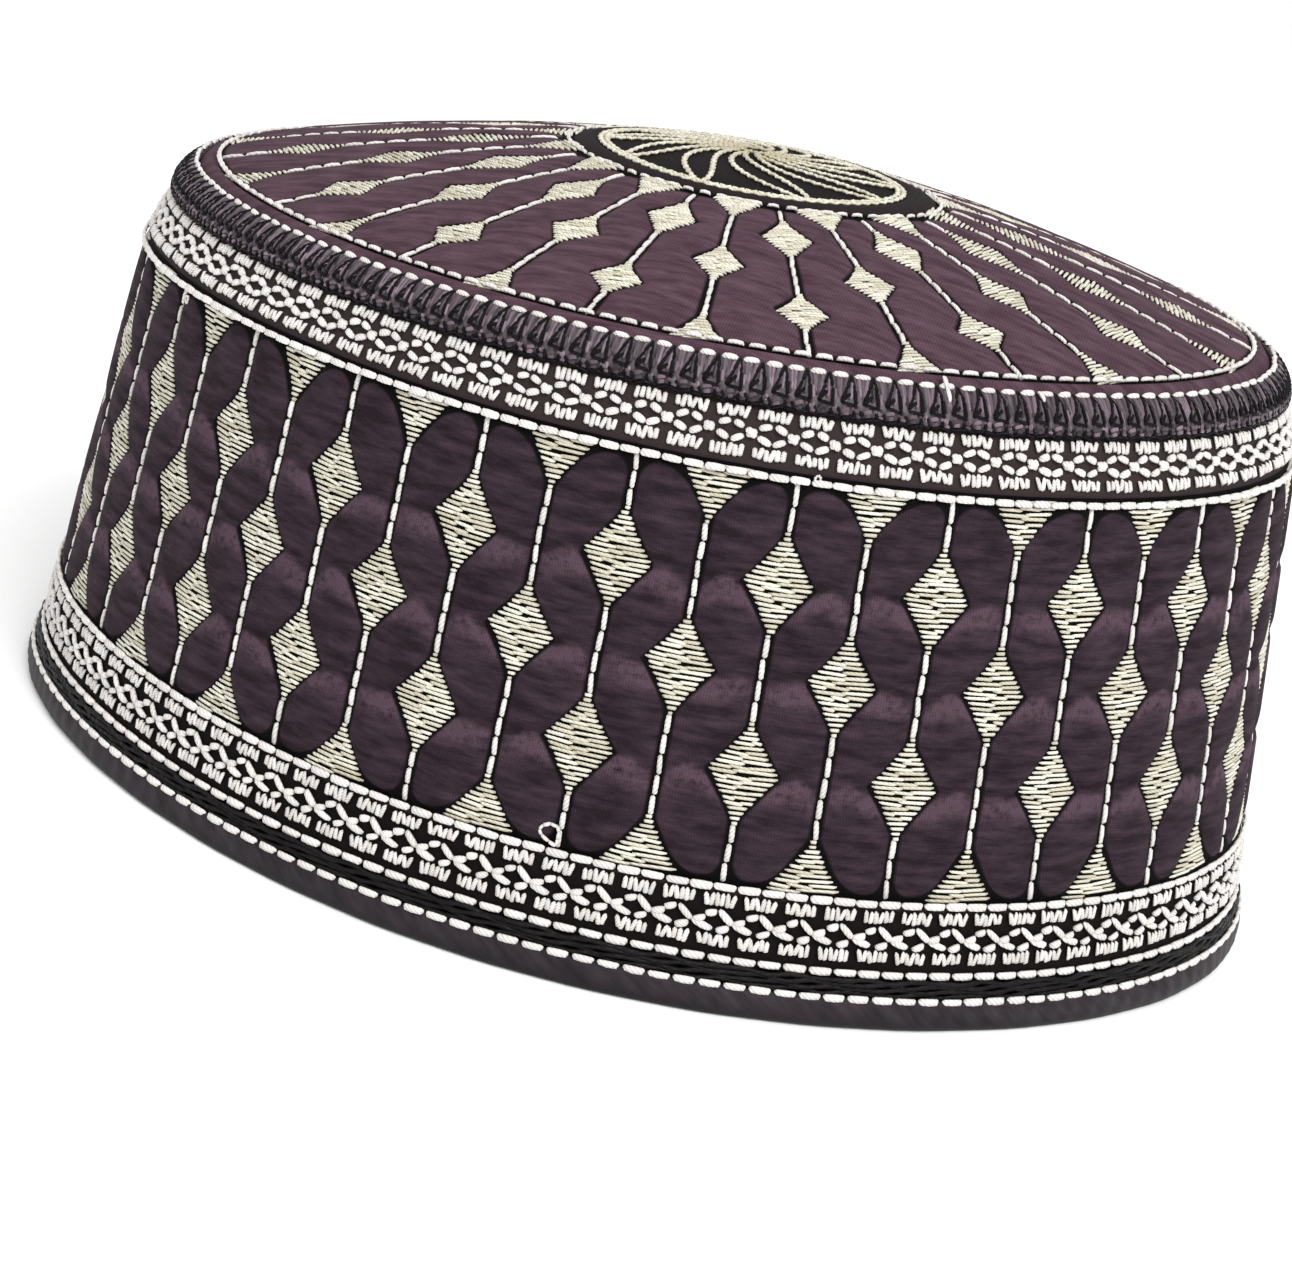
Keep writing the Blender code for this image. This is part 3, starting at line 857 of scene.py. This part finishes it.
def zigzag_path(share, turn, step, swing, lift, width, chance):
    """Short stitches swinging from side to side along a path on the dome."""
    points = dome(turn, share, 0.45 * MM - lift)
    reach = np.concatenate([[0], np.cumsum(np.linalg.norm(np.diff(points, axis=0), axis=1))])
    count = max(2, int(reach[-1] / step))
    marks = np.linspace(0, reach[-1], count + 1)
    shares = np.interp(marks, reach, share)
    turns = np.interp(marks, reach, turn)
    middle = dome(turns, shares, 0.45 * MM - lift)
    out = dome_out(turns, shares)
    beside = unit(np.cross(out, np.gradient(middle, axis=0)))
    middle = middle + beside * (swing * np.where(np.arange(count + 1) % 2, 1, -1))[:, None]
    tone = chance.uniform(0.4, 1.0, count) * np.clip(shares[1:] / 0.16, 0.25, 1)
    return laid(middle[:-1], middle[1:], out[:-1], width, 0.5 * MM, tone)


BLADES = 10
rows = []
path = np.linspace(0, 1, 24)
for blade in range(BLADES):
    for side in (-1, 1):
        apart = side * (0.17 * np.sin(pi * path ** 0.8) + 0.02)
        turn = 2 * pi * (blade + 0.3) / BLADES - 0.85 * (1 - path) ** 1.4 + apart
        share = 0.03 + (whirl_edge(turn) - 0.038) * path
        rows.append(zigzag_path(share, turn, 0.85 * MM, 0.24 * MM, 0.3 * MM, 0.80 * MM, chance))
around = np.linspace(0, 2 * pi, 240)
for inward, lift in ((0.0, 0.35), (0.011, 0.30)):
    share = whirl_edge(around) - inward
    rows.append(zigzag_path(share, around, 1.0 * MM, 0.24 * MM, lift * MM, 0.74 * MM, chance))
rows.append(zigzag_path(np.full(60, 0.03), around[::4], 0.8 * MM, 0.2 * MM, 0.5 * MM, 0.7 * MM, chance))
sew("medallion_whirl", rows, old_ivory, satin_shape, 14)


# Seam roll: overlocked thread over the seam of band and crown.
# Purple thread wraps it closely, thin black thread zigzags over that, and knots run along its foot.
ROLL_LOOPS = 162


def seam_frame(along, out):
    """Height and inset of a point of the roll's section: along runs up it, out is outward."""
    rise = ROLL_TOP_HEIGHT - SHOULDER_HEIGHT
    run = ROLL_TOP_INSET - SHOULDER_INSET + (LEAN_LENGTH + LEAN_WIDTH) / 2 * rise
    length = (rise ** 2 + run ** 2) ** 0.5
    height = SHOULDER_HEIGHT + along * rise + out * run / length
    return height, SHOULDER_INSET + along * (ROLL_TOP_INSET - SHOULDER_INSET) - out * rise / length


def bulge(along):
    """How far the roll stands out at a place up its section."""
    return 1.4 * MM * np.clip(1 - np.abs(2 * along - 0.96) ** 2.4, 0, 1) ** 0.6


def roll_at(loop, along, lift):
    """A point on the roll: loop counts along it, lift is outward from its face."""
    height, inset = seam_frame(along, bulge(along) + lift)
    return wall(turn_at(loop, ROLL_LOOPS, 0), height, inset)


roll_thread = thread("roll_thread", (0.010, 0.006, 0.009), (0.235, 0.165, 0.208), 0.5, 0.0)
LOOP_STEPS = 8
roll_steps = ROLL_LOOPS * LOOP_STEPS
section = np.linspace(0.03, 0.97, 14)
loop_places, alongs = np.meshgrid(np.arange(roll_steps) / LOOP_STEPS, section)
strands = np.sin(2 * pi * (loop_places * 3 + 0.35 * np.sin(2 * pi * loop_places) * (alongs - 0.4)))
wander = np.sin(loop_places * 1.7) * np.sin(loop_places * 0.37 + alongs * 4)
face = roll_at(loop_places, alongs, (0.10 * strands + 0.06 * wander - 0.12) * MM)
ring_turns = turn_at(loop_places[0], ROLL_LOOPS, 0)
bed = [wall(ring_turns, *seam_frame(along, -0.25 * MM)) for along in (0.9, 0.5, 0.1)]
rings = np.concatenate([face, np.array(bed), face[:1]])
quads, step_loops, ring_loops = grid_quads(len(rings), roll_steps)
quads = quads % ((len(rings) - 1) * roll_steps)
# Painted light on the roll: lighter on the crest of each wrapped strand and darker between strands, and
# painted shade along its foot under the bulge.
tone = (0.22 + 0.20 * strands) * (0.35 + 0.65 * np.clip(alongs * 4, 0, 1))
roll = make_piece(
    "seam_roll", rings[:-1], quads, roll_thread, np.stack([step_loops / 30, ring_loops / 20], -1),
    {"tone": np.concatenate([tone, np.zeros((3, roll_steps))])},
)
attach(roll, "root")
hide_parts("crown_seam_roll")


def roll_stitches(chart, lift, width, height, tone):
    """Stitches on the roll from a chart of (loop, along, loop, along)."""
    chart = np.asarray(chart, float)
    middle = (chart[:, :2] + chart[:, 2:]) / 2
    high = roll_at(middle[:, 0], middle[:, 1], lift + 1e-3)
    low = roll_at(middle[:, 0], middle[:, 1], lift)
    start = roll_at(chart[:, 0], chart[:, 1], lift)
    end = roll_at(chart[:, 2], chart[:, 3], lift)
    return laid(start, end, unit(high - low), width, height, tone)


black_thread = thread("black_thread", (0.0015, 0.001, 0.0015), (0.006, 0.004, 0.006), 0.6, 2.0, 0.0, 0.15)
legs = [
    (0.0, 1.0, -0.22, 0.66), (-0.22, 0.66, -0.45, 0.30), (0.0, 1.0, 0.11, 0.62),
    (0.11, 0.62, 0.18, 0.28), (0.18, 0.30, 0.13, 0.05), (-0.44, 0.30, -0.08, 0.50),
    (-0.44, 0.30, 0.15, 0.25), (0.13, 0.05, 0.63, 0.0), (0.60, 0.0, 1.13, 0.05),
    (0.40, 0.18, 0.56, 0.04),
]
wraps = [
    (0.50, 0.92, 0.47, 0.40), (-0.02, 0.80, -0.06, 0.38), (0.30, 0.90, 0.38, 0.42),
    (0.72, 0.90, 0.62, 0.44), (0.26, 0.60, 0.30, 0.32), (0.82, 0.56, 0.72, 0.36),
]
knots = [
    (0.02, 0.21, 0.40, 0.15), (0.56, 0.15, 0.96, 0.21), (0.22, 0.10, 0.48, 0.08),
    (0.66, 0.08, 0.94, 0.10), (0.32, 0.26, 0.34, 0.10),
]
charts = []
for marks in (legs, wraps, knots):
    chart = [(loop + a, b, loop + c, d) for loop in range(ROLL_LOOPS) for a, b, c, d in marks]
    slips = chance.uniform(-0.03, 0.03, (len(chart), 4)) * np.array([1, 0.7, 1, 0.7])
    charts.append(np.array(chart) + slips)
tones = chance.uniform(0, 1, len(charts[0]))
sew("roll_zigzag", [roll_stitches(charts[0], 0.18 * MM, 0.50 * MM, 0.44 * MM, tones)],
    black_thread, satin_shape, 16)
rows = []
for chart, lift, thick in ((charts[1], 0.0, 0.5), (charts[2], 0.02, 0.55)):
    tones = chance.uniform(0.1, 1, len(chart)) ** 1.5
    rows.append(roll_stitches(chart, lift * MM, 0.62 * MM, thick * MM, tones))
sew("roll_wraps", rows, roll_thread, satin_shape, 17)

# A last white line holds the top of the roll down, and a few stray stitches run over it.
chart = np.arange(ROLL_LOOPS)[:, None] * (1, 0, 1, 0) + (0.14, 0.95, 0.86, 0.95)
chart = chart + chance.uniform(-0.03, 0.03, chart.shape) * np.array([1, 0.6, 1, 0.6])
stray = [(136.34, 1.20, 136.40, 0.93), (136.40, 0.94, 136.42, 0.58), (141.1, 1.02, 141.12, 0.76)]
rows = [
    roll_stitches(chart, 0.15 * MM, 0.85 * MM, 0.65 * MM, chance.uniform(0.5, 1, ROLL_LOOPS)),
    roll_stitches(stray, 0.45 * MM, 0.62 * MM, 0.5 * MM, 0.8),
]
sew("roll_top_line", rows, white_thread, oval_shape, 18)


# Rim cord band: a flat plait of black twisted thread, sewn down just above the binding.
cord_thread = thread("cord_thread", (0.002, 0.0015, 0.0015), (0.011, 0.008, 0.008), 0.5, 1.0, 0.0, 0.15)


def strand_rings(centre, radius, sides):
    """Rings of points round a closed path, square to it."""
    along = unit(np.roll(centre, -1, 0) - np.roll(centre, 1, 0))
    outward = centre * np.array([1, 1, 0])
    outward = unit(outward - along * np.sum(outward * along, -1, keepdims=True))
    beside = np.cross(along, outward)
    spin = (np.arange(sides) / sides * 2 * pi)[None, :, None]
    ring = outward[:, None] * np.cos(spin) + beside[:, None] * np.sin(spin)
    return centre[:, None] + ring * np.reshape(radius, (-1, 1, 1))


def closed_strands(name, paths, radii, sides, material, tones):
    """Several closed strands round the cap as one piece."""
    points, faces, uvs, shades = [], [], [], []
    for path, radius, tone in zip(paths, radii, tones):
        count = len(path)
        i, j = np.meshgrid(np.arange(count), np.arange(sides), indexing="ij")
        here, after = i * sides, (i + 1) % count * sides
        beside = (j + 1) % sides
        quad = np.stack([here + j, after + j, after + beside, here + beside], -1)
        faces.append(quad.reshape(-1, 4) + sum(len(p) for p in points))
        uv = [np.stack([i, i + 1, i + 1, i], -1) * 0.25, np.stack([j, j, j + 1, j + 1], -1) / sides]
        uvs.append(np.stack(uv, -1).reshape(-1, 2))
        points.append(strand_rings(path, radius, sides).reshape(-1, 3))
        shades.append(np.repeat(tone, sides))
    return make_piece(
        name, np.concatenate(points), np.concatenate(faces)[:, ::-1], material,
        np.concatenate(uvs), {"tone": np.concatenate(shades)},
    )


strand_steps = 720
strand_turns = turn_at(np.arange(strand_steps), strand_steps, 0)
strand_reach = np.arange(strand_steps) / strand_steps * 2 * pi
paths, radii, tones = [], [], []
for strand, height in enumerate((5.2, 5.85, 6.5, 7.1)):
    plait = strand_reach * 61 + strand * 1.9
    wave = 0.16 * np.sin(plait) + 0.10 * np.sin(strand_reach * 97 + strand * 2.7)
    depth = -0.42 - 0.14 * np.cos(plait)
    paths.append(wall(strand_turns, (height + wave) * MM, depth * MM))
    radii.append((0.40 + 0.05 * np.sin(strand_reach * 150 + strand)) * MM)
    tones.append(0.35 + 0.35 * np.sin(plait) * np.sin(strand_reach * 13 + strand))
cord_band = closed_strands("rim_cord_strands", paths, radii, 6, cord_thread, tones)
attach(cord_band, "root")
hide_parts("rim_cord_band")


# Brim binding: satin bias tape folded over the raw edge, stitched through from the front.
# It is drawn in a little under each stitch, and painted shadow darkens its fold along the bottom and its
# top edge under the cord band.
binding_satin, tree, shader, place = new_finish("binding_satin")
bias = add(tree, "ShaderNodeMapping", {"Vector": place, "Rotation": (0, 0, 0.78)}).outputs[0]
cloth = add(tree, "ShaderNodeGroup", {"Place": bias}, node_tree=weave)
cloth.inputs["Yarn"].default_value = 0.3
cloth.inputs["Slub"].default_value = 1.0
rubbed = ramp(tree, cloth.outputs["Blotches"], 0.35, 0.65)
base = mix(tree, rubbed, (0.008, 0.0055, 0.007, 1), (0.032, 0.022, 0.029, 1))
# Painted shadow: near-black where the fold mask is set, on the turn along the bottom and on the top edge
# tucked under the cord band.
base = mix(tree, read_mask(tree, "fold"), base, (0.006, 0.004, 0.006, 1))
tree.links.new(base, shader.inputs["Base Color"])
relief_of(tree, shader, cloth.outputs["Yarns"], 0.25, 0.00015)
shader.inputs["Roughness"].default_value = 0.55
shader.inputs["Sheen Weight"].default_value = 0.03
shader.inputs["Specular IOR Level"].default_value = 0.18

tape_steps = 640
tape_turns = turn_at(np.arange(tape_steps), tape_steps, 0)
reach = np.arange(tape_steps) / tape_steps * 2 * pi
# Height in mm, inset in mm, and how much painted shadow darkens it, from the inner edge round to the
# outer one.
tape_section = [
    (9.0, 2.5, 0), (9.0, 3.5, 0), (5.0, 3.6, 0), (0.9, 3.5, 0), (0.3, 3.1, 1), (0.0, 2.2, 1),
    (0.0, 1.0, 1), (0.0, -0.1, 1), (0.25, -0.75, 1), (0.7, -1.12, 0.85), (1.3, -1.3, 0.55),
    (2.0, -1.38, 0.2), (2.8, -1.4, 0), (3.6, -1.32, 0), (4.2, -1.2, 0), (4.55, -0.95, 0.2),
    (4.6, -0.35, 1), (1.0, -0.3, 1), (1.0, 2.5, 1),
]
rings = []
for height, inset, fold in tape_section:
    front = np.clip(-inset, 0, 1) * np.clip(height / 2, 0, 1)
    pucker = front * (0.10 * np.cos(reach * 160) + 0.12 * np.sin(reach * 9 + height))
    pucker = pucker + 0.05 * np.sin(reach * 37)
    rise = np.where(height > 0.1, 0.10 * front * np.sin(reach * 23 + 1), 0)
    rings.append(wall(tape_turns, (height + rise) * MM, (inset + pucker * (height > 0.1)) * MM))
rings = np.array(rings + rings[:1])
quads, step_loops, ring_loops = grid_quads(len(rings), tape_steps)
quads = quads % ((len(rings) - 1) * tape_steps)
fold_shade = np.repeat(np.array([row[2] for row in tape_section])[:, None], tape_steps, 1)
binding = make_piece(
    "brim_tape", rings[:-1], quads, binding_satin,
    np.stack([step_loops * rim_reach[-1] / tape_steps / MM, ring_loops * 0.9], -1), {"fold": fold_shade},
)
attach(binding, "root")
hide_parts("brim_binding")


for shape in (satin_shape, running_shape, oval_shape):
    bpy.data.objects.remove(shape)

# Floor, light and camera: a pale floor under a white sky and one large soft lamp.
# The camera stands a little above the cap and leans a few degrees.
ground = bpy.data.meshes.new("ground")
ground.from_pydata([(-6, -6, 0), (6, -6, 0), (6, 6, 0), (-6, 6, 0)], [], [(0, 1, 2, 3)])
paper = bpy.data.materials.new("pale_floor")
paper.use_nodes = True
given = paper.node_tree.nodes["Principled BSDF"].inputs
given["Base Color"].default_value = (0.94, 0.94, 0.94, 1)
given["Emission Color"].default_value = (1, 1, 1, 1)
given["Emission Strength"].default_value = 0.08
given["Roughness"].default_value = 0.9
ground.materials.append(paper)
ground_object = new_object("ground", ground)

world = bpy.data.worlds.new("studio")
world.use_nodes = True
given = world.node_tree.nodes["Background"].inputs
given["Color"].default_value = (1.0, 1.0, 1.0, 1)
given["Strength"].default_value = 0.90
bpy.context.scene.world = world
bpy.context.scene.view_settings.view_transform = "Standard"


lamp = bpy.data.lights.new("key", "AREA")
lamp.size = 0.8
lamp.energy = 20
key = new_object("key", lamp)
key.location = (0.70, -0.95, 1.25)
key.rotation_euler = (Vector((0, 0, 0.05)) - key.location).to_track_quat("-Z", "Y").to_euler()

camera_data = bpy.data.cameras.new("camera")
camera_data.sensor_fit = "HORIZONTAL"
camera_data.sensor_width = 36.0
camera_data.lens = 85.54
camera_data.shift_x = 0.1332
camera_data.shift_y = -0.1530
camera_data.clip_start = 0.05
camera_data.clip_end = 20.0
camera = new_object("camera", camera_data)
turned = Vector((1.8139, 0.3865, -0.0427))
seen = Matrix.Rotation(turned.length, 3, turned.normalized())
axes = Matrix((seen[0], -seen[1], -seen[2])).transposed()
camera.matrix_world = Matrix.Translation((0.08206, -0.47545, 0.19081)) @ axes.to_4x4()
bpy.context.scene.camera = camera
